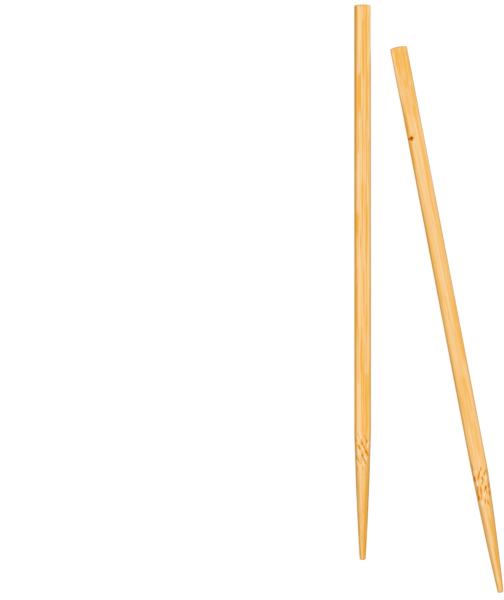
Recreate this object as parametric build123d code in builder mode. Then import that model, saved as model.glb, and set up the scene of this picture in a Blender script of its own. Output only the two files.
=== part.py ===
from build123d import *
import os
from math import cos, hypot, radians, sin, tan

# A pair of disposable bamboo chopsticks, snapped apart and lying side by side on a table.
# Each stick is one milled piece of bamboo: a flat handle with rounded outer edges, a square inner
# side, which faced the other stick, and a crowned head, ground to a round tapered tip with a band
# of grip nicks where the taper starts.
# +Y points to the heads, +Z points up, and the origin is on the table under the middle of the pair.
# Sizes are in millimetres and degrees.

# Handle
stick_length = 230.0
handle_width = 6.9
handle_thickness = 5.0
edge_radius = 1.6
head_crown = 0.3
head_rim_radius = 0.5

# Inner side near the head, where the two sticks were one piece until they were snapped
split_length = 15.6
split_run_out = 11.0
split_step = 0.13

# Ground tip: a long arc back from the end, then straight out to the handle
tip_radius = 1.25
tip_crown = 0.35
tip_arc_length = 37.5
taper_length = 50.0
taper_run_out_angle = 2.0
right_tip_lean = 1.05

# Band of grip nicks
band_from_tip = 38.0
band_length = 14.4
nick_rows = 6
nicks_around = 9
nick_slant = 23.5
nick_length = 2.2
nick_width = 0.5
nick_depth = 0.15

# Small knot on the right stick
knot_from_head = 38.2
knot_from_middle = 1.95
knot_radius = 0.6
knot_depth = 0.25

# How the pair lies: the right stick's head from the left stick's head, and its turn
right_head_across = 14.8
right_head_back = 17.5
right_turn = 10.85

# Room that the grinder keeps beyond the stick and beyond the head's corners, and the nick cutter above it
grinder_clearance = 0.4
head_clearance = 0.13
nick_rise = 0.06

# Worked out from the sizes above
shank_start = split_length + split_run_out
taper_start = stick_length - taper_length
corner_reach = edge_radius + hypot(handle_width / 2 - edge_radius, handle_thickness / 2 - edge_radius)
split_corner_reach = hypot(handle_width / 2 + split_step, handle_thickness / 2)
knot_ball_radius = (knot_radius**2 + knot_depth**2) / (2 * knot_depth)

# The right tip is the pair's far corner, so it sets where the middle of the pair lies
right_tip_across = (
    right_head_across
    + stick_length * sin(radians(right_turn))
    - taper_length * sin(radians(right_tip_lean))
    + tip_radius
)
right_tip_back = right_head_back + stick_length * cos(radians(right_turn))
left_head_x = -(right_tip_across - handle_width / 2) / 2
left_head_y = right_tip_back / 2


def head_plane(x, y, turn):
    """Plane of a stick's head end: x across the stick, y up, z along it to the tip."""
    turned = Plane.XZ.rotated((0, 0, turn))
    return Plane((x, y, handle_thickness / 2), x_dir=turned.x_dir, z_dir=turned.z_dir)


def handle_section(plane, inner_side, inner_step):
    """Section of the handle, its square inner side towards +x or -x, moved out by inner_step."""
    with BuildSketch(plane) as section:
        with Locations((inner_side * inner_step / 2, 0)):
            Rectangle(handle_width + inner_step, handle_thickness)
        corners = section.vertices().sort_by(Axis.X, reverse=inner_side < 0)
        fillet(corners[:2], edge_radius)
    return section.sketch


def head_waste(head):
    """Half section of what is ground off a crowned head: x is the radius, y runs to the tip."""
    outer_radius = split_corner_reach + head_clearance
    crown_rim = (outer_radius, head_crown * (outer_radius / (handle_width / 2)) ** 2)
    with BuildSketch(Plane(head.location * Location((0, 0, 0), (90, 0, 0)))) as waste:
        with BuildLine():
            TangentArc((0, 0), crown_rim, tangent=(1, 0))
            Polyline(crown_rim, (outer_radius, -grinder_clearance), (0, -grinder_clearance), (0, 0))
        make_face()
    return waste.sketch


def tip_waste(tip_plane):
    """Half section of what the grinder takes off: x is the radius, y runs to the tip.

    It runs in on the rounded corners, and starts on the square inner ones with a small step.
    """
    angle = radians(taper_run_out_angle)
    outer_radius = corner_reach + grinder_clearance
    run_in = (outer_radius - handle_width / 2) / tan(angle)
    arc_start = taper_length - tip_arc_length
    arc_top = (handle_width / 2 - arc_start * tan(angle), arc_start)
    tip_rim = (tip_radius, taper_length - tip_crown)
    tip_end = (0, taper_length)
    far_side = handle_width + grinder_clearance
    far_end = taper_length + grinder_clearance
    with BuildSketch(tip_plane) as waste:
        with BuildLine():
            TangentArc(tip_end, tip_rim, tangent=(1, 0))
            TangentArc(arc_top, tip_rim, tangent=(-sin(angle), cos(angle)))
            Polyline(
                arc_top,
                (outer_radius, -run_in),
                (far_side, -run_in),
                (far_side, far_end),
                (0, far_end),
                tip_end,
            )
        make_face()
    return waste.sketch


def nick_seats(stick, head, slant):
    """Planes that seat the nick cutter on the stick's own surface, in staggered rows."""
    seats = []
    for row in range(nick_rows):
        from_tip = band_from_tip + band_length * (row + 0.5) / nick_rows
        middle = head.from_local_coords(Vector(0, 0, stick_length - from_tip))
        for place in range(nicks_around):
            around = 360 / nicks_around * (place + row / 2)
            outwards = head.x_dir.rotate(Axis((0, 0, 0), head.z_dir), around)
            point, normal = stick.find_intersection_points(Axis(middle, outwards))[-1]
            run = head.z_dir.rotate(Axis((0, 0, 0), normal), slant)
            seats.append(Plane(point, x_dir=run, z_dir=normal))
    return seats


# Cutter of one nick: a slender four-sided point, upside down, its widest part clear of the stick
nick_spread = (nick_depth + nick_rise) / nick_depth
nick_point = (0, 0, -nick_depth)
nick_rim = [
    (nick_spread * nick_length / 2, 0, nick_rise),
    (0, nick_spread * nick_width / 2, nick_rise),
    (-nick_spread * nick_length / 2, 0, nick_rise),
    (0, -nick_spread * nick_width / 2, nick_rise),
]
nick_sides = [
    Face(Wire.make_polygon([nick_rim[corner - 1], nick_rim[corner], nick_point]))
    for corner in range(len(nick_rim))
]
nick_cutter = Solid(Shell([Face(Wire.make_polygon(nick_rim)), *nick_sides]))


def chopstick(head, inner_side, inner_step, tip_lean, slant, knots):
    """One stick from its head plane to its tip, its inner side towards +x or -x of that plane.

    inner_step is what the break left on the inner side, and tip_lean turns the tip that way.
    knots gives each knot's place: across from the middle of the top, and along from the head.
    """
    split_section = handle_section(head, inner_side, inner_step)
    run_out_section = handle_section(head.offset(split_length), inner_side, inner_step)
    shank_section = handle_section(head.offset(shank_start), inner_side, 0)
    tip_place = head.location * Location((0, 0, taper_start), (0, inner_side * tip_lean, 0))
    tip_plane = Plane(tip_place * Location((0, 0, 0), (90, 0, 0)))
    tip_axis = Axis(tip_plane.origin, tip_plane.y_dir)

    with BuildPart() as stick:
        extrude(split_section, amount=split_length)
        loft([run_out_section, shank_section])
        extrude(shank_section, amount=stick_length - shank_start)
        revolve(head_waste(head), axis=Axis(head.origin, head.z_dir), mode=Mode.SUBTRACT)
        head_face = stick.faces().sort_by(Axis(head.origin, head.z_dir))[0]
        fillet(head_face.edges(), head_rim_radius)
        revolve(tip_waste(tip_plane), axis=tip_axis, mode=Mode.SUBTRACT)
        with Locations(*nick_seats(stick.part, head, slant)):
            add(nick_cutter, mode=Mode.SUBTRACT)
        for across, along in knots:
            foot = head.from_local_coords(Vector(across, 0, along))
            top, normal = stick.part.find_intersection_points(Axis(foot, head.y_dir))[-1]
            with Locations(top + normal * (knot_ball_radius - knot_depth)):
                Sphere(knot_ball_radius, mode=Mode.SUBTRACT)
    return stick


left_head = head_plane(left_head_x, left_head_y, 0)
right_head = head_plane(left_head_x + right_head_across, left_head_y - right_head_back, right_turn)

left_chopstick = chopstick(left_head, 1, -split_step, 0, nick_slant, [])
right_knot = (-knot_from_middle, knot_from_head)
right_chopstick = chopstick(right_head, -1, split_step, right_tip_lean, -nick_slant, [right_knot])

os.makedirs("parts", exist_ok=True)
left_chopstick.part.label = "left_chopstick"
export_step(left_chopstick.part, "parts/left_chopstick.step")
right_chopstick.part.label = "right_chopstick"
export_step(right_chopstick.part, "parts/right_chopstick.step")
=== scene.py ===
import math

import bpy
import numpy as np
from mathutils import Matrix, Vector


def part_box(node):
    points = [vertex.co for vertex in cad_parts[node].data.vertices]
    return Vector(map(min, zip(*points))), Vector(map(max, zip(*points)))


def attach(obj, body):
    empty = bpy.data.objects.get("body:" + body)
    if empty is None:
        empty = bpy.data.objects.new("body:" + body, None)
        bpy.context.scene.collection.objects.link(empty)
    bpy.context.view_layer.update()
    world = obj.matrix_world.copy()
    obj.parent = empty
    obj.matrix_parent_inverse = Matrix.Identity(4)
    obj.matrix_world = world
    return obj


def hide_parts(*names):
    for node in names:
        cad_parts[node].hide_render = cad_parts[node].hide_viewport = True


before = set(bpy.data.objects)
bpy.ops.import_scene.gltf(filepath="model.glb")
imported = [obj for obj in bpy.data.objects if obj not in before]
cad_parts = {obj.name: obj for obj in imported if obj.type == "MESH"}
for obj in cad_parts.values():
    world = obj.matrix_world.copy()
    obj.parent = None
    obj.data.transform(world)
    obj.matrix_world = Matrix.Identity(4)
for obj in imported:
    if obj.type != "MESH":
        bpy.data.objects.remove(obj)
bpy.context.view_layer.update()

# A pair of disposable bamboo chopsticks lying on a white table, seen from straight above.
# Lengths are in millimetres up to the point where a mesh is made, and angles in degrees.
# A stick has its own axes: x across, z up from its middle height, s along it from head to tip.
MM = 0.001

# Handle, read from the left stick, which lies along Y
left_low, left_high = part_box("left_chopstick")
STICK_LENGTH = (left_high[1] - left_low[1]) / MM
HANDLE_WIDTH = (left_high[0] - left_low[0]) / MM
HANDLE_THICKNESS = (left_high[2] - left_low[2]) / MM
LEFT_X = (left_high[0] + left_low[0]) / 2 / MM
LEFT_HEAD_Y = left_high[1] / MM

# All four long edges are rounded here; the solids round the outer two and leave the inner two square
EDGE_RADIUS = 1.6
HEAD_CROWN = 0.3
HEAD_RIM_RADIUS = 0.5

# Inner side near the head, where the two sticks were one piece. Its torn face starts this share of half
# the width from the middle and fades this far before the run-out.
SPLIT_LENGTH = 15.6
SPLIT_RUN_OUT = 11.0
SPLIT_EDGE_RADIUS = 0.7
SPLIT_STEP = 0.13
SPLIT_FACE = (0.72, 0.9)
SPLIT_FADE = 3.0

# Ground tip, with the softness of the line where it meets the handle, and the room to the solid's end
TIP_RADIUS = 1.25
TIP_CROWN = 0.35
TIP_ARC_LENGTH = 37.5
TAPER_LENGTH = 50.0
TAPER_RUN_OUT_ANGLE = 2.0
RIGHT_TIP_LEAN = 1.05
TAPER_SOFTNESS = 0.06
TIP_CLEARANCE = 0.01

# Band of grip nicks: a shallow dip, less deep in a nick, whose ragged ends fade outwards and inwards
BAND_FROM_TIP = 38.0
BAND_LENGTH = 14.4
BAND_DIP = 0.03
BAND_DIP_IN_NICK = 0.4
BAND_FRINGE = 1.6
BAND_FADE_OUT = 2.5
BAND_FADE_IN = 1.5

# Rows of nicks, in which the right stick takes two slants by turns. A nick's colour is a leaf, narrowed to
# this share at its points, and it hides the pale scrapes under it.
NICK_ROWS = 6
NICKS_AROUND = 9
NICK_SLANT = 23.5
RIGHT_SECOND_SLANT = -2.0
NICK_LENGTH = 2.2
NICK_WIDTH = 0.5
NICK_DEPTH = 0.15
LEAF_POINT = 0.4
PALE_LOST_IN_NICK = 1.5

# The rows' nicks, up to this share of the way from the stick's middle height to its top: how much longer
# and wider than the solid's they are, how strong, and how far each strays
ROW_HIGHEST = 0.3
ROW_LENGTHENING = 1.5
ROW_WIDENING = 1.4
ROW_STRENGTH = 0.75
LENGTH_STRAY = 0.5
STRENGTH_STRAY = 0.35
SLANT_STRAY = 5.0
ACROSS_STRAY = 0.2
ALONG_STRAY = 0.4

# Nicks on the upper side, thin cuts and the thicker dabs on them: across from the middle, from the tip,
# length, width, slant and strength, below 0 for the pale scrapes between them
LEFT_NICKS = [
    (1.15, 50.4, 4.2, 0.5, 19, 0.55),
    (1.6, 49.3, 2.0, 0.8, 14, 0.9),
    (-0.65, 49.6, 1.1, 0.6, 5, 0.6),
    (-0.25, 48.2, 2.2, 0.8, 20, 0.9),
    (-1.45, 46.7, 2.7, 0.7, 25, 0.85),
    (0.6, 46.7, 1.5, 0.7, 10, 0.8),
    (1.4, 45.0, 5.0, 0.6, 26, 0.8),
    (1.45, 44.8, 2.0, 0.9, 18, 1.15),
    (2.0, 43.8, 1.8, 0.8, 28, 0.9),
    (1.2, 47.7, 1.4, 0.5, -24, 0.4),
    (-0.45, 44.3, 1.5, 0.6, 18, 0.4),
    (-0.1, 43.3, 1.8, 0.9, 8, 0.95),
    (0.7, 41.3, 3.8, 0.55, 23, 0.75),
    (1.15, 40.2, 1.7, 0.6, 20, 0.7),
    (-1.8, 41.5, 3.8, 0.45, 28, 0.6),
    (-1.1, 40.1, 1.0, 0.55, 20, 0.55),
    (-2.1, 37.6, 2.6, 0.6, 4, 0.4),
    (0.0, 38.0, 2.4, 0.5, 16, 0.4),
    (2.4, 37.7, 2.2, 0.5, 6, 0.5),
    (-1.9, 52.1, 1.7, 0.6, 18, 0.45),
    (-1.3, 50.7, 1.8, 0.45, 24, 0.3),
    (-3.0, 49.5, 2.0, 0.5, 3, 0.7),
    (-2.85, 42.1, 3.0, 0.6, -2, 0.75),
    (-0.95, 51.2, 3.8, 0.6, 22, -1.2),
    (0.15, 46.4, 2.2, 0.9, 16, -1.2),
    (-1.5, 44.4, 3.4, 0.8, 26, -1.2),
    (-2.1, 40.3, 2.2, 0.6, 12, -1.0),
    (1.2, 42.4, 2.8, 0.7, 25, -1.0),
    (2.3, 48.0, 3.2, 0.6, -14, -1.0),
    (0.3, 40.0, 2.4, 0.6, 20, -0.9),
]
RIGHT_NICKS = [
    (0.5, 51.9, 2.2, 0.6, -16, 0.65),
    (-0.8, 49.4, 4.4, 0.65, -22, 0.95),
    (-1.1, 48.6, 1.7, 0.7, -18, 0.9),
    (0.5, 47.7, 2.7, 0.7, 4, 0.85),
    (0.05, 46.0, 1.6, 0.6, -18, 0.8),
    (1.2, 43.9, 2.3, 0.85, -14, 1.1),
    (-0.95, 43.0, 4.4, 0.65, -3, 0.85),
    (-1.3, 40.0, 2.4, 0.55, -8, 0.6),
    (-2.15, 44.0, 2.8, 0.6, -13, 0.75),
    (-2.75, 48.3, 3.0, 0.7, 2, 1.35),
    (-2.5, 42.6, 2.8, 0.6, -6, 0.85),
    (-2.45, 40.2, 2.8, 0.7, -11, 1.35),
    (-2.95, 53.0, 3.4, 0.6, -2, 0.75),
    (2.6, 44.6, 2.4, 0.6, -11, 0.9),
    (2.5, 41.6, 2.9, 0.65, -5, 0.95),
    (2.65, 51.0, 2.4, 0.5, -8, 0.6),
    (1.75, 50.0, 2.8, 0.55, -25, 0.8),
    (1.4, 42.2, 2.0, 0.5, 4, 0.5),
    (0.4, 42.6, 1.4, 0.5, -8, 0.4),
    (0.05, 38.6, 2.8, 0.55, -6, 0.65),
    (1.2, 37.7, 2.8, 0.6, 11, 0.75),
    (-1.95, 46.2, 2.4, 0.8, -4, -1.2),
    (-0.3, 46.9, 2.6, 0.6, -8, -1.1),
    (0.1, 41.6, 3.4, 0.7, -8, -1.1),
    (-1.3, 37.7, 2.8, 0.8, -4, -1.1),
    (1.9, 47.9, 3.0, 0.8, -10, -1.1),
    (1.85, 43.2, 2.4, 0.4, -8, -1.0),
    (-1.6, 50.9, 2.4, 0.6, -16, -1.0),
]

# Streaks in the upper side's grain: across from the middle, start and end from the head, width and
# strength, above 0 for amber and below 0 for pale
LEFT_STREAKS = [
    (-2.4, 0, 16, 0.5, 0.8),
    (-1.3, 9, 28, 1.2, -0.5),
    (0.6, 0, 8, 0.8, 0.5),
    (-0.45, 0, 75, 0.4, -0.7),
    (0.25, 7, 29, 1.0, 1.0),
    (1.5, 2, 28, 0.6, 0.45),
    (2.3, 4, 20, 0.4, 0.4),
    (-2.7, 30, 46, 0.6, 0.8),
    (-1.35, 29, 46, 1.3, 1.0),
    (-1.6, 46, 61, 0.5, 0.7),
    (1.8, 27, 46, 0.8, 0.8),
    (2.0, 46, 50, 0.5, 0.5),
    (2.4, 56, 74, 0.4, 0.6),
    (1.5, 66, 79, 0.4, 0.5),
    (-1.0, 60, 75, 0.35, 0.4),
    (-1.8, 62, 86, 0.9, -0.7),
    (-0.05, 73, 87, 0.4, 0.6),
    (0.85, 73, 88, 0.4, 0.5),
    (1.8, 83, 92, 0.6, 1.0),
    (1.75, 93, 106, 0.7, 0.6),
    (-2.25, 87, 95, 0.8, 0.9),
    (-0.8, 89, 103, 0.35, 0.4),
    (-2.45, 109, 115, 0.6, 0.7),
    (1.7, 108, 134, 0.5, 0.6),
    (-2.5, 116, 133, 1.0, 0.9),
    (-0.35, 90, 134, 0.5, -0.5),
    (0.75, 108, 134, 0.35, 0.5),
    (-1.35, 100, 133, 0.7, -0.6),
    (2.4, 90, 153, 0.4, -0.5),
    (-1.1, 134, 140, 0.4, 0.6),
    (-0.65, 139, 152, 0.75, 1.0),
    (-0.45, 155, 159, 0.5, 0.6),
    (0.75, 141, 154, 0.35, 0.5),
    (1.3, 153, 180, 2.4, 0.5),
    (0.0, 160, 180, 0.4, 0.4),
    (-1.5, 157, 180, 1.8, -0.6),
    (-0.7, 190, 209, 0.9, -0.6),
    (0.9, 190, 228, 0.9, 0.6),
]
RIGHT_STREAKS = [
    (-2.6, 3, 20, 0.7, -0.7),
    (-1.4, 2, 12, 1.5, 0.7),
    (1.7, 3, 10, 0.9, 0.6),
    (0.8, 12, 17, 0.6, 0.7),
    (2.2, 17, 24, 0.8, 0.9),
    (-1.0, 20, 29, 0.8, 0.4),
    (1.5, 25, 29, 1.2, 0.8),
    (-2.6, 28, 35, 0.9, 0.7),
    (-2.6, 39, 50, 0.7, 0.7),
    (0.75, 30, 74, 0.5, -0.6),
    (1.6, 28, 92, 0.7, 0.5),
    (-2.2, 97, 107, 0.5, 0.7),
    (-1.1, 98, 109, 0.45, 0.7),
    (0.3, 76, 118, 0.5, -0.6),
    (-0.5, 104, 116, 0.4, 0.5),
    (2.7, 107, 116, 0.6, 0.8),
    (2.4, 119, 133, 1.1, 0.8),
    (0.6, 139, 147, 2.0, 0.5),
    (0.0, 146, 160, 0.45, 0.5),
    (1.4, 144, 154, 0.6, 0.6),
    (-2.1, 147, 152, 0.6, 0.7),
    (0.5, 158, 171, 0.6, 0.5),
    (1.4, 158, 171, 0.6, 0.4),
    (-1.1, 177, 183, 1.6, 0.5),
    (-1.9, 183, 188, 0.8, 0.4),
    (0.9, 186, 192, 1.2, 0.4),
    (-0.85, 190, 208, 0.9, -0.7),
    (-1.15, 208, 226, 0.7, -0.4),
    (0.1, 199, 203, 0.5, 0.9),
    (0.4, 199, 228, 1.2, 0.5),
]

# How a streak fades: in shares of half its width at the sides, and over these lengths at its ends
STREAK_SIDES = (0.6, 1.4)
STREAK_START_FADE = 1.5
STREAK_END_FADE = 3.0

# Relief of the fibres: width and length of the coarse, the fine and the torn ones, and their depths
COARSE_FIBRES = (1.3, 28)
FINE_FIBRES = (0.5, 14)
TORN_FIBRES = (0.45, 3.5)
COARSE_DEPTH = 0.014
FINE_DEPTH = 0.012
TORN_DEPTH = 0.05

# Golden sides, partly the bamboo's denser fibres and partly painted shade where the rounded sides
# turn away from the light, by how far the surface leans out, up to 1 where it faces straight left or
# right.
# The right side gets more of it along the handle, and an inner left side is paler near the head.
LEFT_DENSE_SHADE = (0.1, 0.75)
RIGHT_DENSE_SHADE = (0.4, 1.0)
RIGHT_LATER_DENSE_SHADE = (0.2, 0.85)
RIGHT_LATER = (60, 120)
INNER_PALE_SHARE = 0.3
INNER_PALE_END = (12, 60)

# The same on the tip, partly painted shade too, with darker rims of painted shade at its very sides
TIP_LEFT_SHARE = 0.9
TIP_LEFT_FULL = 0.95
TIP_LEFT_INSET = 0.45
TIP_INSET_END = (200, 220)
TIP_RIGHT_DENSE_SHADE = (-0.35, 0.7)
TIP_BLEND_BEFORE = 8.0
TIP_BLEND_AFTER = 10.0
TIP_RIM_SHADE = (0.75, 0.97)
LEFT_RIM_SHADE_SHARE = 0.4
RIGHT_RIM_SHADE_SHARE = 0.6

# Painted shade as a dark line along the upper outer edge, by lean and height, which fades twice on its way
# from the head
EDGE_SHADE_LEAN = (0.65, 0.9)
EDGE_SHADE_HEIGHT = (0.3, 0.9)
EDGE_SHADE_FIRST_FADE = (18, 30)
EDGE_SHADE_LAST_FADE = (80, 125)
EDGE_SHADE_MIDDLE_SHARE = 0.65

# Small knot on the right stick: a pit with a dark core, a lobe below it and a tail over the inner edge
KNOT_FROM_HEAD = 38.2
KNOT_FROM_MIDDLE = 1.95
KNOT_RADIUS = 0.6
KNOT_DEPTH = 0.25
KNOT_SQUASH = 1.15
KNOT_CORE_SHIFT = 0.18
KNOT_CORE_RADIUS = 0.56
KNOT_RUST_RADIUS = 0.7
KNOT_RUST_SHARE = 0.65
KNOT_LOBE_BACK = 0.75
KNOT_LOBE_SHIFT = 0.08
KNOT_LOBE_RADIUS = 0.52
KNOT_LOBE_DEPTH = 0.06
KNOT_TAIL_LENGTH = 1.3
KNOT_TAIL_START = (0.0, 0.4)
KNOT_TAIL_END = (0.8, 1.2)
KNOT_TAIL_SLOPE = 0.3
KNOT_TAIL_WIDTH = 0.42
KNOT_TAIL_DEPTH = 0.1

# Orange glow around the knot: a ring, and spots by strength, place towards the inner edge and the tip,
# width and length
KNOT_RING_GLOW = 1.4
KNOT_RING_RADIUS = 1.15
KNOT_GLOWS = [(1.0, 1.0, -4.5, 0.55, 3.6), (0.5, -1.3, -1.3, 0.6, 1.0)]

# How the pair lies: the right head from the left head, and the right stick's turn
RIGHT_HEAD_ACROSS = 14.8
RIGHT_HEAD_BACK = 17.5
RIGHT_TURN = 10.85

# Mesh fineness: points around a stick, ring spacing along its stretches and how far the close spacing
# goes past the band and the knot, and how closely the outline is found
POINTS_AROUND = 168
PLAIN_SPACING = 0.62
SPLIT_SPACING = 0.4
BAND_SPACING = 0.15
KNOT_SPACING = 0.12
BAND_MARGIN = 2.0
KNOT_MARGIN = 2.2
RIM_RINGS = 6
FACE_RINGS = 14
OUTLINE_POINTS = 4001
HALVINGS = 36

# How far the end grain's colour runs over the head's rim, and over how many rings it comes in at the tip
HEAD_END_FADE = 0.7
TIP_END_RINGS = 3

# Texture map: the stick's skin in strips, and its two ends side by side in the room above them
MAP_STRIPS = 4
STRIP_HEIGHT = 0.23
MAP_MARGIN = 0.01
END_MAP_SIZE = 0.07
END_MAP_SPACING = 1.2

# The photograph's frame in pixels, where the left stick's middle stands in it and how long a stick is
PHOTO_WIDTH = 504
PHOTO_HEIGHT = 600
LEFT_MIDDLE_PIXEL = (362.65, 282.2)
STICK_PIXELS = 555.5
CAMERA_DISTANCE = 4000.0
CAMERA_SIGHT = 100000.0
SENSOR_SIZE = 36.0

# Light on a level surface, as shares of full light: a soft sun a little right of and above the middle,
# and a dim white sky
SUN_SHARE = 0.58
SUN_ANGLE = 40
SUN_LEAN = 5
SUN_RISE = 8
SKY_SHARE = 0.42

# The table sends this share of the light back to the sticks, and shows the camera their shadow faintly
# on a white of its own
FLOOR_SIZE = 40000.0
FLOOR_DROP = 0.02
FLOOR_ROUGHNESS = 0.9
TABLE_WHITE = 0.75
SHADOW_SHARE = (0.12, 0.14, 0.18)
WHITE_SEEN = 1.03


def smooth_step(low, high, value):
    """0 below low, 1 above high, smooth between."""
    t = np.clip((value - low) / (high - low), 0, 1)
    return t * t * (3 - 2 * t)


def blot(distance, radius):
    """1 at the middle of a spot, 0 well outside its radius, with a soft rim."""
    return np.exp(-((distance / radius) ** 4))


def grain_noise(around, along, width, length, random):
    """Smooth noise from -1 to 1 on the unrolled stick; around runs from 0 to 1 and closes on itself."""
    perimeter = 2 * (HANDLE_WIDTH + HANDLE_THICKNESS)
    columns = max(3, round(perimeter / width))
    rows = int(STICK_LENGTH / length) + 3
    values = random.uniform(-1, 1, (columns, rows))
    u = around * columns
    v = np.clip(along / length, 0, rows - 2)
    column = np.floor(u).astype(int)
    row = np.floor(v).astype(int)
    a = smooth_step(0, 1, u - column)
    b = smooth_step(0, 1, v - row)
    left = column % columns
    right = (column + 1) % columns
    low = values[left, row] * (1 - a) + values[right, row] * a
    high = values[left, row + 1] * (1 - a) + values[right, row + 1] * a
    return low * (1 - b) + high * b


class Stick:
    """The measured form of one stick, from which its mesh is made."""

    def __init__(
        self, inner_side, inner_step, tip_lean, tip_gold, edge_shade_strength, slants, nicks, streaks, knots, seed
    ):
        self.inner_side = inner_side
        self.inner_step = inner_step
        self.tip_lean = math.tan(math.radians(tip_lean)) * inner_side
        lost_length = TAPER_LENGTH * (1 - math.cos(math.radians(tip_lean)))
        self.end = STICK_LENGTH - lost_length - TIP_CLEARANCE
        self.tip_gold = tip_gold
        self.edge_shade_strength = edge_shade_strength
        self.slants = slants
        self.nicks = nicks
        self.streaks = streaks
        self.knots = knots
        self.random = np.random.default_rng(seed)

    def tip_offset(self, s):
        """How far the tip's axis has left the handle's axis, across."""
        return self.tip_lean * (s - (STICK_LENGTH - TAPER_LENGTH))

    def ground_radius(self, s):
        """Radius that the grinder leaves: an arc near the tip, straight towards the handle."""
        slope = math.tan(math.radians(TAPER_RUN_OUT_ANGLE))
        from_tip = STICK_LENGTH - s
        straight = HANDLE_WIDTH / 2 - (TAPER_LENGTH - from_tip) * slope
        arc_top = HANDLE_WIDTH / 2 - (TAPER_LENGTH - TIP_ARC_LENGTH) * slope
        arc_run = TIP_ARC_LENGTH - TIP_CROWN
        bend = (arc_top - TIP_RADIUS - arc_run * slope) / arc_run**2
        down = np.clip(TIP_ARC_LENGTH - from_tip, 0, None)
        return np.where(down > 0, arc_top - slope * down - bend * down**2, straight)

    def outside(self, x, z, s):
        """Distance out of the stick's surface, negative inside it."""
        joined = 1 - np.clip((s - SPLIT_LENGTH) / SPLIT_RUN_OUT, 0, 1)
        inner = x * self.inner_side > 0
        radius = np.where(inner, EDGE_RADIUS + (SPLIT_EDGE_RADIUS - EDGE_RADIUS) * joined, EDGE_RADIUS)
        half_width = HANDLE_WIDTH / 2 + np.where(inner, self.inner_step * joined, 0)
        over_x = np.abs(x) - half_width + radius
        over_z = np.abs(z) - HANDLE_THICKNESS / 2 + radius
        corner = np.hypot(np.maximum(over_x, 0), np.maximum(over_z, 0))
        handle = np.minimum(np.maximum(over_x, over_z), 0) + corner - radius
        ground = np.hypot(x - self.tip_offset(s), z) - self.ground_radius(s)
        blend = np.clip(0.5 + 0.5 * (handle - ground) / TAPER_SOFTNESS, 0, 1)
        return ground + (handle - ground) * blend + TAPER_SOFTNESS * blend * (1 - blend)

    def reach(self, angle, s):
        """Distance from the stick's middle line to its surface, found by halving."""
        low = np.zeros_like(s)
        high = np.full_like(s, HANDLE_WIDTH)
        middle = np.maximum(0, s - (STICK_LENGTH - TAPER_LENGTH)) * self.tip_lean
        for _ in range(HALVINGS):
            half = (low + high) / 2
            inside = self.outside(middle + half * np.cos(angle), half * np.sin(angle), s) < 0
            low = np.where(inside, half, low)
            high = np.where(inside, high, half)
        return low, middle


def ring_places(stick):
    """Distances of the rings from the head, closer together where there is more to show."""
    band_start = STICK_LENGTH - BAND_FROM_TIP - BAND_LENGTH
    stops = [
        (HEAD_CROWN + HEAD_RIM_RADIUS, SPLIT_SPACING),
        (SPLIT_LENGTH + SPLIT_RUN_OUT, PLAIN_SPACING),
        (band_start - BAND_MARGIN, BAND_SPACING),
        (band_start + BAND_LENGTH + BAND_MARGIN, PLAIN_SPACING),
        (stick.end - TIP_CROWN, None),
    ]
    for _, along in stick.knots:
        stops += [(along - KNOT_MARGIN, KNOT_SPACING), (along + KNOT_MARGIN, PLAIN_SPACING)]
    stops.sort(key=lambda stop: stop[0])
    places = []
    for (start, spacing), (end, _) in zip(stops, stops[1:]):
        count = max(1, round((end - start) / spacing))
        places.append(np.linspace(start, end, count, endpoint=False))
    return np.concatenate([*places, [stick.end - TIP_CROWN]])


def even_angles(stick):
    """Angles around the handle that stand about evenly along its outline, from below round to below."""
    fine = np.linspace(-math.pi / 2, 1.5 * math.pi, OUTLINE_POINTS)
    middle_of_stick = np.full_like(fine, STICK_LENGTH / 2)
    reach, _ = stick.reach(fine, middle_of_stick)
    steps = np.hypot(np.diff(reach * np.cos(fine)), np.diff(reach * np.sin(fine)))
    run = np.concatenate([[0], np.cumsum(steps)])
    return np.interp(np.arange(POINTS_AROUND) / POINTS_AROUND * run[-1], run, fine)


def sliver(along, over, length, width, slant):
    """Depth and colour of one nick, from 0 to 1: a slanting pit in a leaf that is pointed at both ends."""
    cosine = math.cos(math.radians(slant))
    sine = math.sin(math.radians(slant))
    a = (along * cosine + over * sine) * 2 / length
    b = (over * cosine - along * sine) * 2 / width
    pit = np.clip(1 - np.abs(a) - np.abs(b), 0, 1)
    full = np.sqrt(np.clip(1 - a**2, 0, 1))
    return pit, full * np.exp(-((b / (LEAF_POINT + (1 - LEAF_POINT) * full)) ** 2))


def top_nicks(stick, x, z, s):
    """Depth, colour and paleness of the nicks and scrapes on the upper side."""
    depth = np.zeros_like(s)
    colour = np.zeros_like(s)
    pale = np.zeros_like(s)
    for across, from_tip, length, width, slant, strength in stick.nicks:
        along = s - (STICK_LENGTH - from_tip)
        pit, leaf = sliver(along, x - stick.tip_offset(s) - across, length, width, slant)
        depth = np.maximum(depth, NICK_DEPTH * strength * pit * (z > 0))
        colour = np.maximum(colour, strength * leaf * (z > 0))
        pale = np.maximum(pale, -strength * leaf * (z > 0))
    return depth, colour, pale


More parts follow.
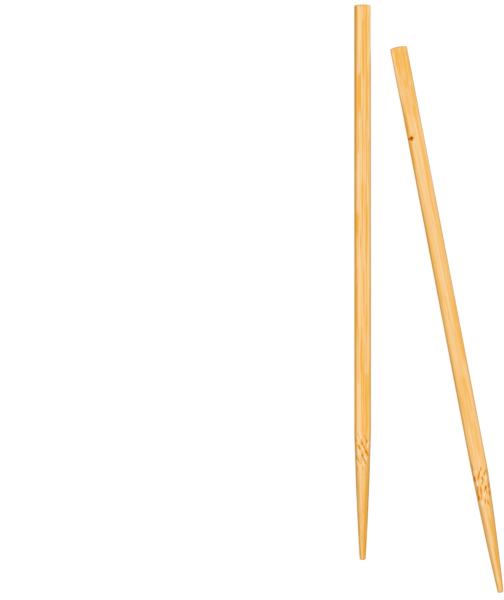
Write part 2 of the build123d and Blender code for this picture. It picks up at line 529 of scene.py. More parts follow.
def row_nicks(stick, angles, s, run, across_run):
    """Depth and colour of the staggered rows of nicks on the sides and the underside."""
    depth = np.zeros_like(s)
    colour = np.zeros_like(s)
    for row in range(NICK_ROWS):
        from_tip = BAND_FROM_TIP + BAND_LENGTH * (row + 0.5) / NICK_ROWS
        ring = int(np.argmin(np.abs(s[:, 0] - (STICK_LENGTH - from_tip))))
        for place in range(NICKS_AROUND):
            jitter = stick.random.uniform(-1, 1, 5)
            angle = math.radians(360 / NICKS_AROUND * (place + row / 2))
            if math.sin(angle) > ROW_HIGHEST:
                continue
            turn = (angle + math.pi / 2) % (2 * math.pi) - math.pi / 2
            slant = stick.slants[(place + row) % len(stick.slants)] + SLANT_STRAY * jitter[0]
            length = NICK_LENGTH * (ROW_LENGTHENING + LENGTH_STRAY * jitter[1])
            strength = ROW_STRENGTH + STRENGTH_STRAY * jitter[2]
            over = np.interp(turn, angles, run[ring]) - run + ACROSS_STRAY * jitter[3]
            over -= np.round(over / across_run) * across_run
            along = s - (STICK_LENGTH - from_tip) - ALONG_STRAY * jitter[4]
            pit, leaf = sliver(along, over, length, NICK_WIDTH * ROW_WIDENING, slant)
            depth = np.maximum(depth, NICK_DEPTH * strength * pit)
            colour = np.maximum(colour, strength * leaf)
    return depth, colour


def nick_marks(stick, angles, x, z, s, run, across_run):
    """Depth, colour and paleness of all grip nicks: those placed by hand on top, and the rows."""
    top_depth, top_colour, pale = top_nicks(stick, x, z, s)
    row_depth, row_colour = row_nicks(stick, angles, s, run, across_run)
    depth = np.maximum(top_depth, row_depth)
    colour = np.maximum(top_colour, row_colour)
    return depth, colour, pale * (1 - np.clip(PALE_LOST_IN_NICK * colour, 0, 1))


def streak_marks(stick, x, z, s):
    """How amber, or below 0 how pale, the grain is in the streaks of the upper side."""
    streaks = np.zeros_like(s)
    for across, start, end, width, strength in stick.streaks:
        off = np.abs(x - across) / (width / 2)
        inside = 1 - smooth_step(*STREAK_SIDES, off)
        begun = smooth_step(start - STREAK_START_FADE, start + STREAK_START_FADE, s)
        ended = smooth_step(end - STREAK_END_FADE, end + STREAK_END_FADE, s)
        streaks += strength * inside * begun * (1 - ended) * (z > 0)
    return np.clip(streaks, -1, 1)


def knot_marks(stick, x, z, s):
    """Depth, dark core and orange halo of the knots, on the stick's upper side."""
    depth = np.zeros_like(s)
    core = np.zeros_like(s)
    halo = np.zeros_like(s)
    top = z > 0
    for across, along in stick.knots:
        inwards = (x - across) * stick.inner_side
        back = s - along
        off = np.hypot(inwards, back * KNOT_SQUASH)
        pit = np.clip(1 - (off / KNOT_RADIUS) ** 2, 0, 1)
        lobe = blot(np.hypot(inwards + KNOT_LOBE_SHIFT, back - KNOT_LOBE_BACK), KNOT_LOBE_RADIUS)
        tail = smooth_step(*KNOT_TAIL_START, inwards)
        tail *= 1 - smooth_step(*KNOT_TAIL_END, inwards / KNOT_TAIL_LENGTH)
        tail *= blot(back - KNOT_TAIL_SLOPE * inwards, KNOT_TAIL_WIDTH)
        dent = KNOT_DEPTH * pit + KNOT_TAIL_DEPTH * tail + KNOT_LOBE_DEPTH * lobe
        depth = np.maximum(depth, top * dent)

        core_off = np.hypot(inwards + KNOT_CORE_SHIFT, back * KNOT_SQUASH)
        dark = blot(core_off, KNOT_CORE_RADIUS)
        rust = np.clip(tail + lobe + blot(core_off, KNOT_RUST_RADIUS), 0, 1)
        core = np.maximum(core, top * np.maximum(dark, KNOT_RUST_SHARE * rust))

        glow = KNOT_RING_GLOW * blot(off, KNOT_RING_RADIUS)
        for strength, aside, down, width, length in KNOT_GLOWS:
            spot = ((inwards - aside) / width) ** 2 + ((back - down) / length) ** 2
            glow += strength * np.exp(-spot)
        halo = np.maximum(halo, top * np.clip(glow, 0, 1))
    return depth, core, halo


def dense_shaded_sides(stick, out_x, s):
    """How golden the rounded long sides are, partly denser bamboo and partly painted shade, and how dark
    the painted shade on the tip's very rims is.
    """
    left = smooth_step(*LEFT_DENSE_SHADE, -out_x)
    if stick.inner_side < 0:
        left *= INNER_PALE_SHARE + (1 - INNER_PALE_SHARE) * smooth_step(*INNER_PALE_END, s)
    later = smooth_step(*RIGHT_LATER, s)
    right = (smooth_step(*RIGHT_DENSE_SHADE, out_x) + later * smooth_step(*RIGHT_LATER_DENSE_SHADE, out_x)) / 2

    inset = TIP_LEFT_INSET * (1 - smooth_step(*TIP_INSET_END, s))
    tip_left = TIP_LEFT_SHARE * smooth_step(inset, TIP_LEFT_FULL, -out_x)
    tip_right = stick.tip_gold * smooth_step(*TIP_RIGHT_DENSE_SHADE, out_x)
    from_tip = STICK_LENGTH - s
    on_tip = 1 - smooth_step(TAPER_LENGTH - TIP_BLEND_AFTER, TAPER_LENGTH + TIP_BLEND_BEFORE, from_tip)
    dense_shade = (left + right) * (1 - on_tip) + (tip_left + tip_right) * on_tip
    # Painted shade on the tip's very rims
    rim = RIGHT_RIM_SHADE_SHARE * smooth_step(*TIP_RIM_SHADE, out_x) + LEFT_RIM_SHADE_SHARE * smooth_step(*TIP_RIM_SHADE, -out_x)
    return np.clip(dense_shade, 0, 1), rim * on_tip


def edge_shade_line(stick, out_x, z, s):
    """How dark the painted shade is along the upper outer edge, strongest near the head."""
    outer = smooth_step(*EDGE_SHADE_LEAN, -out_x * stick.inner_side)
    first_fade = (1 - EDGE_SHADE_MIDDLE_SHARE) * smooth_step(*EDGE_SHADE_FIRST_FADE, s)
    last_fade = EDGE_SHADE_MIDDLE_SHARE * smooth_step(*EDGE_SHADE_LAST_FADE, s)
    return stick.edge_shade_strength * outer * smooth_step(*EDGE_SHADE_HEIGHT, z) * (1 - first_fade - last_fade)


def stick_surface(stick):
    """Points of the stick ring by ring, plain and with its relief, and the marks that colour it."""
    angles = even_angles(stick)
    s, angle = np.meshgrid(ring_places(stick), angles, indexing="ij")
    reach, middle = stick.reach(angle, s)
    x = middle + reach * np.cos(angle)
    z = reach * np.sin(angle)

    step = np.hypot(np.roll(x, -1, 1) - x, np.roll(z, -1, 1) - z)
    run = np.cumsum(step, axis=1) - step
    across_run = step.sum(axis=1, keepdims=True)
    around = run / across_run
    dx = np.roll(x, -1, 1) - np.roll(x, 1, 1)
    dz = np.roll(z, -1, 1) - np.roll(z, 1, 1)
    size = np.hypot(dx, dz)
    out_x = dz / size
    out_z = -dx / size

    nick_depth, nick, pale = nick_marks(stick, angles, x, z, s, run, across_run)
    knot_depth, knot, halo = knot_marks(stick, x, z, s)
    facing_inside = smooth_step(*SPLIT_FACE, x * stick.inner_side / (HANDLE_WIDTH / 2))
    split = facing_inside * (1 - smooth_step(SPLIT_LENGTH - SPLIT_FADE, SPLIT_LENGTH + SPLIT_RUN_OUT, s))
    # Golden sides, partly painted shade, and painted shade on the tip's rims
    dense_shade, rim = dense_shaded_sides(stick, out_x, s)

    coarse = grain_noise(around, s, *COARSE_FIBRES, stick.random)
    fine = grain_noise(around, s, *FINE_FIBRES, stick.random)
    torn = grain_noise(around, s, *TORN_FIBRES, stick.random)
    band_end = BAND_FROM_TIP + BAND_LENGTH
    fringe = STICK_LENGTH - s + BAND_FRINGE * fine
    band = smooth_step(BAND_FROM_TIP - BAND_FADE_OUT, BAND_FROM_TIP + BAND_FADE_IN, fringe)
    band *= 1 - smooth_step(band_end - BAND_FADE_IN, band_end + BAND_FADE_OUT, fringe)
    relief = COARSE_DEPTH * (coarse - 1) + FINE_DEPTH * (fine - 1)
    relief += split * TORN_DEPTH * (torn - 1)
    relief -= nick_depth + knot_depth + BAND_DIP * band * (1 - BAND_DIP_IN_NICK * nick)
    shaped = (x + relief * out_x, z + relief * out_z)

    marks = {
        "streak": streak_marks(stick, x, z, s),
        "nick": nick,
        "pale": pale,
        "knot": knot,
        "halo": halo,
        "split": split,
        "band": band,
        # Painted shade: partly in the golden sides, wholly in the tip's rims
        "dense_shade": dense_shade * (1 - split),
        "rim": rim,
        # Painted shade as a dark line along the upper outer edge
        "edge_shade": edge_shade_line(stick, out_x, z, s),
        "end": np.zeros_like(s),
    }
    return (x, z), shaped, s, middle, marks


def with_ends(x, z, s, middle, marks):
    """Adds the rounded head rim with its crowned face before the rings, and the domed tip after them."""
    head_reach = np.hypot(x[0], z[0])
    rows = []
    for ring in range(1, FACE_RINGS + 1):
        share = ring / (FACE_RINGS + 1)
        rows.append((share * (1 - HEAD_RIM_RADIUS / head_reach), HEAD_CROWN * share**2, 1.0))
    for ring in range(RIM_RINGS):
        turn = math.pi / 2 * ring / RIM_RINGS
        inset = HEAD_RIM_RADIUS * (1 - math.sin(turn))
        rise = HEAD_RIM_RADIUS * (1 - math.cos(turn))
        rows.append((1 - inset / head_reach, HEAD_CROWN + rise, 1 - HEAD_END_FADE * ring / RIM_RINGS))
    head = [(x[0] * share, z[0] * share, place, end) for share, place, end in rows]

    rows = []
    for ring in range(1, FACE_RINGS + 1):
        share = 1 - ring / (FACE_RINGS + 1)
        rows.append((share, s[-1, 0] + TIP_CROWN * (1 - share**2), min(1, ring / TIP_END_RINGS)))
    off = x[-1] - middle[-1]
    tip = [(middle[-1] + off * share, z[-1] * share, place, end) for share, place, end in rows]

    def joined(wall, before, after):
        return np.vstack([*before, wall, *after])

    points_x = joined(x, [row[0] for row in head], [row[0] for row in tip])
    points_z = joined(z, [row[1] for row in head], [row[1] for row in tip])
    flat = np.ones(x.shape[1])
    points_s = joined(s, [row[2] * flat for row in head], [row[2] * flat for row in tip])
    grown = {}
    for name, wall in marks.items():
        before = [row[3] * flat if name == "end" else wall[0] for row in head]
        after = [row[3] * flat if name == "end" else wall[-1] for row in tip]
        grown[name] = joined(wall, before, after)
    ends = [(0, 0, 0), (middle[-1, 0], s[-1, 0] + TIP_CROWN, 0)]
    return points_x, points_z, points_s, grown, ends


def skin_map(x, z, s, ends):
    """Map places of every face's corners: the surface cut into strips, each end seen straight on."""
    rings, around = s.shape
    strip_length = STICK_LENGTH / MAP_STRIPS
    usable = 1 - 2 * MAP_MARGIN

    def on_end(ring, place, end):
        across = (x[ring, place] - ends[end][0]) / HANDLE_WIDTH + 0.5 + END_MAP_SPACING * end
        up = z[ring, place] / HANDLE_WIDTH + 0.5
        low = MAP_STRIPS * STRIP_HEIGHT
        return MAP_MARGIN + across * END_MAP_SIZE, low + up * END_MAP_SIZE

    ring, place = np.meshgrid(np.arange(rings - 1), np.arange(around), indexing="ij")
    strip = np.floor((s[ring, place] + s[ring + 1, place]) / 2 / strip_length)
    head_face = ring < FACE_RINGS
    tip_face = ring >= rings - 1 - FACE_RINGS
    corners = []
    for down, aside in ((0, 0), (0, 1), (1, 1), (1, 0)):
        u = MAP_MARGIN + (s[ring + down, place] / strip_length - strip) * usable
        v = (strip + MAP_MARGIN + (place + aside) / around * usable) * STRIP_HEIGHT
        for face, end in ((head_face, 0), (tip_face, 1)):
            end_u, end_v = on_end(ring + down, (place + aside) % around, end)
            u = np.where(face, end_u, u)
            v = np.where(face, end_v, v)
        corners.append(np.stack([u, v], axis=-1))
    quads = np.stack(corners, axis=2).reshape(-1, 2)

    caps = []
    for end, ring in ((0, 0), (1, rings - 1)):
        middle_u = MAP_MARGIN + (0.5 + END_MAP_SPACING * end) * END_MAP_SIZE
        middle = (middle_u, MAP_STRIPS * STRIP_HEIGHT + END_MAP_SIZE / 2)
        for place in range(around):
            first = on_end(ring, place, end)
            second = on_end(ring, (place + 1) % around, end)
            caps += [middle, second, first] if end == 0 else [middle, first, second]
    return np.vstack([quads, caps])


def stick_mesh(name, stick, head_x, head_y, turn):
    """One closed mesh of a stick where it lies, with its own axes kept in the attribute grain."""
    plain, shaped, wall_s, middle, wall_marks = stick_surface(stick)
    grain_x, grain_z, _, _, _ = with_ends(*plain, wall_s, middle, {})
    x, z, s, marks, ends = with_ends(*shaped, wall_s, middle, wall_marks)
    rings, around = x.shape

    def places(across, up):
        """Every point's place in the stick's own axes, the two ends' middles last."""
        return np.vstack([np.stack([across, s, up], axis=-1).reshape(-1, 3), ends])

    own = places(x, z)
    cosine = math.cos(math.radians(turn))
    sine = math.sin(math.radians(turn))
    points = np.stack([
        head_x + own[:, 0] * cosine + own[:, 1] * sine,
        head_y + own[:, 0] * sine - own[:, 1] * cosine,
        own[:, 2] + HANDLE_THICKNESS / 2,
    ], axis=-1)

    ring, place = np.meshgrid(np.arange(rings - 1), np.arange(around), indexing="ij")
    here = ring * around
    below = here + around
    after = (place + 1) % around
    quads = np.stack([here + place, here + after, below + after, below + place], axis=-1).reshape(-1, 4)
    head = rings * around
    tip = head + 1
    last = head - around
    head_fan = [(head, (place + 1) % around, place) for place in range(around)]
    tip_fan = [(tip, last + place, last + (place + 1) % around) for place in range(around)]

    mesh = bpy.data.meshes.new(name)
    mesh.from_pydata((points * MM).tolist(), [], quads.tolist() + head_fan + tip_fan)
    for mark, values in marks.items():
        end_value = 1.0 if mark == "end" else 0.0
        attribute = mesh.attributes.new(mark, "FLOAT", "POINT")
        attribute.data.foreach_set("value", np.append(values.ravel(), [end_value] * 2).astype(np.float32))
    attribute = mesh.attributes.new("grain", "FLOAT_VECTOR", "POINT")
    attribute.data.foreach_set("vector", places(grain_x, grain_z).astype(np.float32).ravel())
    layer = mesh.uv_layers.new(name="OFBake")
    layer.data.foreach_set("uv", skin_map(x, z, s, ends).astype(np.float32).ravel())
    mesh.shade_smooth()
    mesh.update()
    return mesh


def srgb(red, green, blue):
    """A colour as a screen shows it, in the linear values that a shader takes."""
    shares = [value / 255 for value in (red, green, blue)]
    linear = [c / 12.92 if c <= 0.04045 else ((c + 0.055) / 1.055) ** 2.4 for c in shares]
    return (*linear, 1)


# The shares of a noise's shift that go into its three axes
SHIFT_SHARES = (1, 0.37, 0.71)


class Shader:
    """Short names for the nodes that a material is made of."""

    def __init__(self, name):
        self.material = bpy.data.materials.new(name)
        self.material.use_nodes = True
        self.tree = self.material.node_tree
        self.surface = self.tree.nodes["Principled BSDF"]

    def put(self, socket, value):
        if isinstance(value, bpy.types.NodeSocket):
            self.tree.links.new(value, socket)
        else:
            socket.default_value = value

    def mark(self, name, output="Fac"):
        node = self.tree.nodes.new("ShaderNodeAttribute")
        node.attribute_name = name
        return node.outputs[output]

    def math(self, operation, first, second):
        node = self.tree.nodes.new("ShaderNodeMath")
        node.operation = operation
        self.put(node.inputs[0], first)
        self.put(node.inputs[1], second)
        return node.outputs[0]

    def times(self, first, second):
        return self.math("MULTIPLY", first, second)

    def ramp(self, value, low, high, kind="SMOOTHSTEP"):
        """0 where value is low, 1 where it is high."""
        node = self.tree.nodes.new("ShaderNodeMapRange")
        node.interpolation_type = kind
        self.put(node.inputs["Value"], value)
        self.put(node.inputs["From Min"], low)
        self.put(node.inputs["From Max"], high)
        return node.outputs[0]

    def mix(self, factor, first, second):
        node = self.tree.nodes.new("ShaderNodeMix")
        node.data_type = "RGBA"
        self.put(node.inputs[0], factor)
        self.put(node.inputs[6], first)
        self.put(node.inputs[7], second)
        return node.outputs[2]

    def split(self, place):
        """The three parts of a place."""
        node = self.tree.nodes.new("ShaderNodeSeparateXYZ")
        self.put(node.inputs[0], place)
        return node.outputs

    def join(self, x, y, z):
        """A place from its three parts."""
        node = self.tree.nodes.new("ShaderNodeCombineXYZ")
        for socket, value in zip(node.inputs, (x, y, z)):
            self.put(socket, value)
        return node.outputs[0]

    def stretched(self, place, width, length, shift):
        """Coordinates in which a streak of this width and length is one unit each way."""
        node = self.tree.nodes.new("ShaderNodeMapping")
        node.inputs["Scale"].default_value = (1 / width, 1 / length, 1 / width)
        node.inputs["Location"].default_value = [shift * share for share in SHIFT_SHARES]
        self.put(node.inputs["Vector"], place)
        return node.outputs[0]

    def noise(self, place, detail=1.0, roughness=0.5):
        node = self.tree.nodes.new("ShaderNodeTexNoise")
        node.inputs["Scale"].default_value = 1.0
        node.inputs["Detail"].default_value = detail
        node.inputs["Roughness"].default_value = roughness
        self.put(node.inputs["Vector"], place)
        return node.outputs["Fac"]


HONEY = srgb(247, 198, 127)
CREAM = srgb(251, 210, 154)
AMBER = srgb(246, 178, 62)
# Gold of the sides, partly painted shade, and the darker gold of painted shade on the tip's rims
DENSE_SHADE_AMBER = srgb(233, 167, 44)
RIM_SHADE_GOLD = srgb(222, 150, 10)
# Brown of the painted shade along the upper outer edge
EDGE_SHADE_BROWN = srgb(200, 138, 10)
BAND_CREAM = srgb(252, 221, 182)
NICK_GOLD = srgb(240, 174, 60)
NICK_ORANGE = srgb(234, 143, 0)
NICK_BROWN = srgb(196, 96, 0)
KNOT_RUST = srgb(208, 108, 0)
KNOT_BROWN = srgb(84, 22, 0)
HALO_ORANGE = srgb(242, 164, 36)
SPLIT_STRAW = srgb(244, 208, 148)
END_TAN = srgb(246, 190, 104)
END_DOT = srgb(226, 156, 70)

# Grain: straight columns of fibres, each of its own steady shade with slow changes along it, the
# streaks, and hair-fine fibres
COLUMN_WIDTH = 0.38
STEADY_SHARE = 0.1
SLOW_SHARE = 0.5
STREAK_SHARE = 0.17
COLUMN_RUN = 2000
COLUMN_STEP = 3.37
WAVER_WIDTH = 2.2
WAVER = 1.6
HAIR_WIDTH = 0.16
HAIR_LENGTH = 9
HAIR_DETAIL = 2.0
HAIR_SHARE = 0.2

# How far each noise is shifted, so that no two of them line up
WAVER_SHIFT = 3
COLUMN_SHIFT = 11
SLOW_SHIFT = 17
PATCH_SHIFT = 29
HAIR_SHIFT = 47

# Tones, about 0.5 at the middle, where a colour starts and where it is full
CREAM_TONE = (0.52, 0.4)
AMBER_TONE = (0.5, 0.61)
LIVELY_TONE = (0.4, 0.62)
LIVELY_BASE = 0.65
LIVELY_SHARE = 0.6

# Amber patches near the head, which end this far along the stick
HEAD_WARM_END = (34, 10)
PATCH_WIDTH = 0.8
PATCH_LENGTH = 5
PATCH_TONE = (0.42, 0.6)
PATCH_SHARE = 0.85

# The band of nicks is paler, half as much on the golden sides with their painted shade
WORN_SHARE = 0.18
WORN_BY_DENSE_SHADE = (2.0, 0.0)

# Where the colours of the nicks, the knot and the cut fibre bundles start and where they are full
NICK_RAGGEDNESS = 0.5
NICK_GOLD_AT = (0.05, 0.35)
NICK_ORANGE_AT = (0.3, 0.65)
NICK_BROWN_AT = (0.75, 1.1)
NICK_BROWN_SHARE = 0.8
SPLIT_SHARE = 0.6
HALO_SHARE = 0.75
KNOT_RUST_AT = (0.08, 0.4)
KNOT_BROWN_AT = (0.7, 0.95)
BUNDLE_SPACING = 0.62
BUNDLE_LENGTH = 40
BUNDLE_AT = (0.42, 0.2)
BUNDLE_SHARE = 0.75

# Satin finish: roughness, shine and the hair-fine fibres' relief
BASE_ROUGHNESS = 0.5
HAIR_ROUGHNESS = 0.2
SHINE = 0.06
BUMP_STRENGTH = 0.35
BUMP_HEIGHT = 0.03


def fibre_columns(shader, grain, width, shift):
    """Numbers the straight columns of about this width that a place is in, across and up."""
    waver = shader.noise(shader.stretched(grain, width * WAVER_WIDTH, COLUMN_RUN, shift + WAVER_SHIFT))
    waver = shader.times(shader.math("SUBTRACT", waver, 0.5), WAVER)
    x, _, z = shader.split(shader.stretched(grain, width, 1, shift))
    across = shader.math("FLOOR", shader.math("ADD", x, waver), 0.0)
    up = shader.math("FLOOR", shader.math("ADD", z, waver), 0.0)
    return across, up


def column_noise(shader, columns, along, length, shift):
    """Noise along each column by itself."""
    across, up = (shader.times(column, COLUMN_STEP) for column in columns)
    place = shader.join(across, shader.times(along, 1 / length), up)
    return shader.noise(shader.stretched(place, 1, 1, shift))


def bamboo_tone(shader, grain, shift, length):
    """How amber the grain is, about 0.5 at the middle."""
    columns = fibre_columns(shader, grain, COLUMN_WIDTH, shift + COLUMN_SHIFT)
    steady = shader.tree.nodes.new("ShaderNodeTexWhiteNoise")
    shader.put(steady.inputs["Vector"], shader.join(columns[0], 0.0, columns[1]))
    slow = column_noise(shader, columns, shader.split(grain)[1], length, shift + SLOW_SHIFT)
    steady_part = shader.times(shader.math("SUBTRACT", steady.outputs["Value"], 0.5), STEADY_SHARE)
    slow_part = shader.times(shader.math("SUBTRACT", slow, 0.5), SLOW_SHARE)
    return shader.math("ADD", shader.math("ADD", steady_part, slow_part), 0.5)


def grain_colour(shader, tone, depth):
    """Honey bamboo, cream where the tone is low, and amber, as strong as depth, where it is high."""
    colour = shader.mix(shader.ramp(tone, *CREAM_TONE), HONEY, CREAM)
    return shader.mix(shader.times(shader.ramp(tone, *AMBER_TONE), depth), colour, AMBER)


def warm_head(shader, colour, grain, shift, warmth):
    """Amber patches near the head."""
    near_head = shader.ramp(shader.split(grain)[1], *HEAD_WARM_END)
    patches = shader.noise(shader.stretched(grain, PATCH_WIDTH, PATCH_LENGTH, shift + PATCH_SHIFT))
    woven = shader.times(shader.ramp(patches, *PATCH_TONE), PATCH_SHARE)
    amber = shader.times(shader.math("ADD", woven, 1 - PATCH_SHARE), warmth)
    return shader.mix(shader.times(near_head, amber), colour, AMBER)


def dense_shade_and_wear(shader, colour, tone, dense_shade_depth):
    """The golden sides, partly denser bamboo and partly painted shade, livelier where the grain is amber,
    the painted shade of their darker rims and along the upper outer edge, and the paler band.
    """
    lively = shader.math("ADD", shader.times(shader.ramp(tone, *LIVELY_TONE), LIVELY_SHARE), LIVELY_BASE)
    # Painted shade: partly in the sides' gold, wholly in the tip's rims
    dense_shade = shader.times(shader.times(shader.mark("dense_shade"), dense_shade_depth), lively)
    colour = shader.mix(dense_shade, colour, DENSE_SHADE_AMBER)
    colour = shader.mix(shader.mark("rim"), colour, RIM_SHADE_GOLD)
    # Painted shade along the upper outer edge
    colour = shader.mix(shader.mark("edge_shade"), colour, EDGE_SHADE_BROWN)
    worn = shader.times(shader.mark("band"), shader.ramp(shader.mark("dense_shade"), *WORN_BY_DENSE_SHADE, "LINEAR"))
    colour = shader.mix(shader.times(worn, WORN_SHARE), colour, BAND_CREAM)
    return shader.mix(shader.mark("pale"), colour, BAND_CREAM)


def nick_colours(shader, colour, uneven):
    """Gold at a nick's ragged rim, orange further in and brown in the strongest ones."""
    ragged = shader.math("ADD", shader.mark("nick"), shader.times(uneven, NICK_RAGGEDNESS))
    colour = shader.mix(shader.ramp(ragged, *NICK_GOLD_AT), colour, NICK_GOLD)
    colour = shader.mix(shader.ramp(ragged, *NICK_ORANGE_AT), colour, NICK_ORANGE)
    brown = shader.times(shader.ramp(ragged, *NICK_BROWN_AT), NICK_BROWN_SHARE)
    return shader.mix(brown, colour, NICK_BROWN)


def split_and_knot(shader, colour):
    """Torn fibres where the pair was joined, and the knot in its halo."""
    colour = shader.mix(shader.times(shader.mark("split"), SPLIT_SHARE), colour, SPLIT_STRAW)
    colour = shader.mix(shader.times(shader.mark("halo"), HALO_SHARE), colour, HALO_ORANGE)
    colour = shader.mix(shader.ramp(shader.mark("knot"), *KNOT_RUST_AT), colour, KNOT_RUST)
    return shader.mix(shader.ramp(shader.mark("knot"), *KNOT_BROWN_AT), colour, KNOT_BROWN)


def end_grain(shader, colour, grain, shift):
    """Cut fibre bundles as brown dots on the two ends."""
    dots = shader.tree.nodes.new("ShaderNodeTexVoronoi")
    dots.inputs["Scale"].default_value = 1.0
    shader.put(dots.inputs["Vector"], shader.stretched(grain, BUNDLE_SPACING, BUNDLE_LENGTH, shift))
    bundles = shader.times(shader.ramp(dots.outputs["Distance"], *BUNDLE_AT), BUNDLE_SHARE)
    return shader.mix(shader.mark("end"), colour, shader.mix(bundles, END_TAN, END_DOT))


def bamboo_material(name, shift, depth, length, dense_shade_depth, head_warmth):
    """Bare sanded bamboo, with its own nicks, knots and ends.

    shift moves its noises, depth is how strongly the amber fibres show, length how long they run,
    dense_shade_depth how golden the sides are, partly painted shade, and head_warmth how much more amber
    there is near the head.
    """
    shader = Shader(name)
    grain = shader.mark("grain", "Vector")
    hair = shader.noise(shader.stretched(grain, HAIR_WIDTH, HAIR_LENGTH, shift + HAIR_SHIFT), HAIR_DETAIL)
    uneven = shader.math("SUBTRACT", hair, 0.5)
    tone = shader.math("ADD", bamboo_tone(shader, grain, shift, length), shader.times(uneven, HAIR_SHARE))
    tone = shader.math("ADD", tone, shader.times(shader.mark("streak"), STREAK_SHARE))

    colour = grain_colour(shader, tone, depth)
    colour = warm_head(shader, colour, grain, shift, head_warmth)
    colour = dense_shade_and_wear(shader, colour, tone, dense_shade_depth)
    colour = nick_colours(shader, colour, uneven)
    colour = split_and_knot(shader, colour)
    colour = end_grain(shader, colour, grain, shift)
    shader.put(shader.surface.inputs["Base Color"], colour)

    roughness = shader.math("ADD", shader.times(hair, HAIR_ROUGHNESS), BASE_ROUGHNESS)
    shader.put(shader.surface.inputs["Roughness"], roughness)
    shader.surface.inputs["Specular IOR Level"].default_value = SHINE
    bump = shader.tree.nodes.new("ShaderNodeBump")
    bump.inputs["Strength"].default_value = BUMP_STRENGTH
    bump.inputs["Distance"].default_value = BUMP_HEIGHT * MM
    shader.put(bump.inputs["Height"], hair)
    shader.put(shader.surface.inputs["Normal"], bump.outputs[0])
    return shader.material


def lay_stick(name, mesh, material):
    """Makes a finished stick a piece of the object."""
    piece = bpy.data.objects.new(name, mesh)
    bpy.context.scene.collection.objects.link(piece)
    mesh.materials.append(material)
    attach(piece, "root")
    return piece


def white_floor():
    """A white table that keeps the sticks' soft shadow and shows as white around it."""
    half = FLOOR_SIZE / 2 * MM
    mesh = bpy.data.meshes.new("floor")
    corners = [(-half, -half, 0), (half, -half, 0), (half, half, 0), (-half, half, 0)]
    mesh.from_pydata(corners, [], [(0, 1, 2, 3)])
    floor = bpy.data.objects.new("floor", mesh)
    floor.location.z = -FLOOR_DROP * MM
    bpy.context.scene.collection.objects.link(floor)
    shader = Shader("white_table")
    shader.surface.inputs["Roughness"].default_value = FLOOR_ROUGHNESS
    shader.surface.inputs["Specular IOR Level"].default_value = 0.0
    own_white = [WHITE_SEEN - share for share in SHADOW_SHARE]
    shader.surface.inputs["Emission Color"].default_value = (*own_white, 1)
    light_path = shader.tree.nodes.new("ShaderNodeLightPath")
    seen = shader.math("MAXIMUM", light_path.outputs["Is Camera Ray"], light_path.outputs["Is Glossy Ray"])
    seen = shader.math("MAXIMUM", seen, light_path.outputs["Is Transmission Ray"])
    white = (TABLE_WHITE, TABLE_WHITE, TABLE_WHITE, 1)
    shader.put(shader.surface.inputs["Base Color"], shader.mix(seen, white, (*SHADOW_SHARE, 1)))
    shader.put(shader.surface.inputs["Emission Strength"], seen)
    mesh.materials.append(shader.material)


def soft_light():
    """A soft sun nearly overhead and a dim white sky, which the camera sees as plain white."""
    sun = bpy.data.lights.new("sun", "SUN")
    sun.energy = math.pi * SUN_SHARE
    sun.angle = math.radians(SUN_ANGLE)
    lamp = bpy.data.objects.new("sun", sun)
    lamp.location = (0, 0, 1)
    lamp.rotation_euler = (-math.radians(SUN_RISE), math.radians(SUN_LEAN), 0)
    bpy.context.scene.collection.objects.link(lamp)

    world = bpy.data.worlds.new("white_sky")
    world.use_nodes = True
    bpy.context.scene.world = world
    tree = world.node_tree
    background = tree.nodes["Background"]
    background.inputs["Color"].default_value = (1, 1, 1, 1)
    light_path = tree.nodes.new("ShaderNodeLightPath")
    seen = light_path.outputs["Is Camera Ray"]
    for ray in ("Is Glossy Ray", "Is Transmission Ray"):
        wider = tree.nodes.new("ShaderNodeMath")
        wider.operation = "MAXIMUM"
        tree.links.new(seen, wider.inputs[0])
        tree.links.new(light_path.outputs[ray], wider.inputs[1])
        seen = wider.outputs[0]
    strength = tree.nodes.new("ShaderNodeMapRange")
    strength.inputs["To Min"].default_value = SKY_SHARE
    strength.inputs["To Max"].default_value = 1.0
    tree.links.new(seen, strength.inputs["Value"])
    tree.links.new(strength.outputs[0], background.inputs["Strength"])


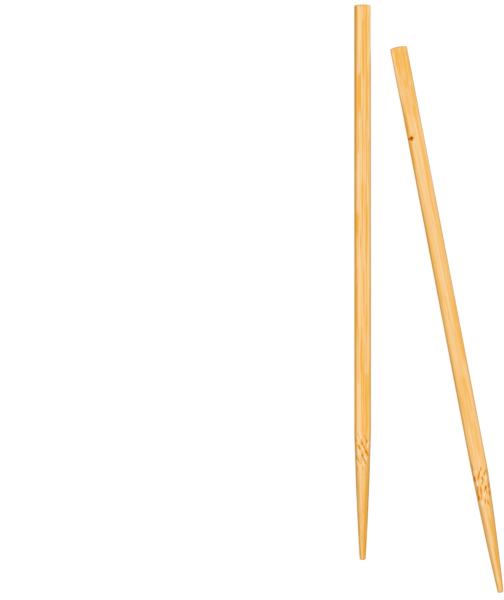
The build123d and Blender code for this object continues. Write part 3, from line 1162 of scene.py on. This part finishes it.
def camera_above():
    """A far camera with a long lens, looking straight down on the photograph's middle."""
    pixel = STICK_LENGTH / STICK_PIXELS
    camera = bpy.data.cameras.new("camera")
    camera.sensor_width = SENSOR_SIZE
    camera.lens = SENSOR_SIZE * CAMERA_DISTANCE / (PHOTO_HEIGHT * pixel)
    camera.clip_end = CAMERA_SIGHT * MM
    eye = bpy.data.objects.new("camera", camera)
    middle_x = LEFT_X + (PHOTO_WIDTH / 2 - LEFT_MIDDLE_PIXEL[0]) * pixel
    middle_y = LEFT_HEAD_Y - STICK_LENGTH / 2 - (PHOTO_HEIGHT / 2 - LEFT_MIDDLE_PIXEL[1]) * pixel
    eye.location = (middle_x * MM, middle_y * MM, (HANDLE_THICKNESS / 2 + CAMERA_DISTANCE) * MM)
    bpy.context.scene.collection.objects.link(eye)
    bpy.context.scene.camera = eye


left_form = Stick(
    inner_side=1,
    inner_step=-SPLIT_STEP,
    tip_lean=0,
    tip_gold=1.0,
    # Painted shade along the outer edge, on this stick only
    edge_shade_strength=1.0,
    slants=[NICK_SLANT],
    nicks=LEFT_NICKS,
    streaks=LEFT_STREAKS,
    knots=[],
    seed=3,
)
left_bamboo = bamboo_material(
    "left_bamboo", shift=0.0, depth=0.95, length=22, dense_shade_depth=0.85, head_warmth=0.0
)
left_mesh = stick_mesh("left_stick", left_form, LEFT_X, LEFT_HEAD_Y, 0)
left_stick = lay_stick("left_stick", left_mesh, left_bamboo)
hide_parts("left_chopstick")

right_form = Stick(
    inner_side=-1,
    inner_step=SPLIT_STEP,
    tip_lean=RIGHT_TIP_LEAN,
    tip_gold=0.85,
    edge_shade_strength=0.0,
    slants=[-NICK_SLANT, RIGHT_SECOND_SLANT],
    nicks=RIGHT_NICKS,
    streaks=RIGHT_STREAKS,
    knots=[(-KNOT_FROM_MIDDLE, KNOT_FROM_HEAD)],
    seed=8,
)
right_bamboo = bamboo_material(
    "right_bamboo", shift=5.3, depth=0.65, length=26, dense_shade_depth=0.65, head_warmth=0.6
)
right_head = (LEFT_X + RIGHT_HEAD_ACROSS, LEFT_HEAD_Y - RIGHT_HEAD_BACK)
right_mesh = stick_mesh("right_stick", right_form, *right_head, RIGHT_TURN)
right_stick = lay_stick("right_stick", right_mesh, right_bamboo)
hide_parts("right_chopstick")

white_floor()
soft_light()
camera_above()
bpy.context.scene.view_settings.view_transform = "Standard"
